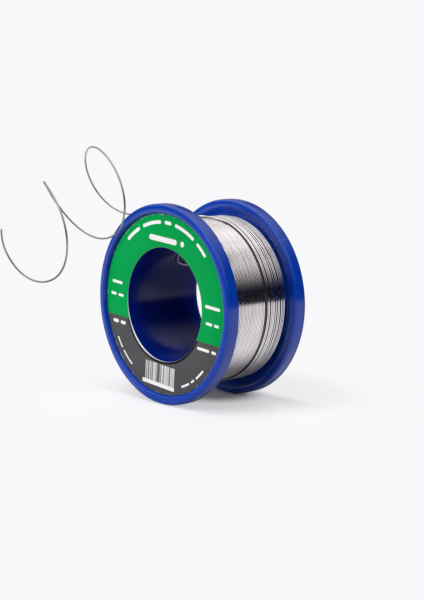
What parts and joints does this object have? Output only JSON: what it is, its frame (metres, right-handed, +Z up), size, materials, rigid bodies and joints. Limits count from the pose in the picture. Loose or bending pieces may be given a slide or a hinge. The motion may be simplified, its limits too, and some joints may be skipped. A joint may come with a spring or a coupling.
{
  "type": "solder wire spool",
  "caption": "Round plastic reel wound with fine solder wire, with a through bore for a holder's spindle and the wire's end free.",
  "frame": {"origin": "on the bore's axis, halfway between the two flanges", "axes": "+Y along the reel's axis, away from the labelled flange, which faces -Y; +Z up, as the reel stands on its rims"},
  "size_m": [0.055, 0.0729, 0.0703],
  "materials": {
    "spool_plastic": "injection moulded, satin to gloss",
    "label_print": "coated paper sticker, green above and charcoal below",
    "solder": "bright drawn tin-lead solder",
    "flux": "amber rosin"
  },
  "bodies": {
    "root": {"spool_body": "spool_plastic", "front_label": "label_print", "wound_core": "solder", "front_turns": "solder", "outer_layer": "solder", "start_tail": "solder", "free_end": "solder", "flux_core": "flux"}
  },
  "joints": []
}
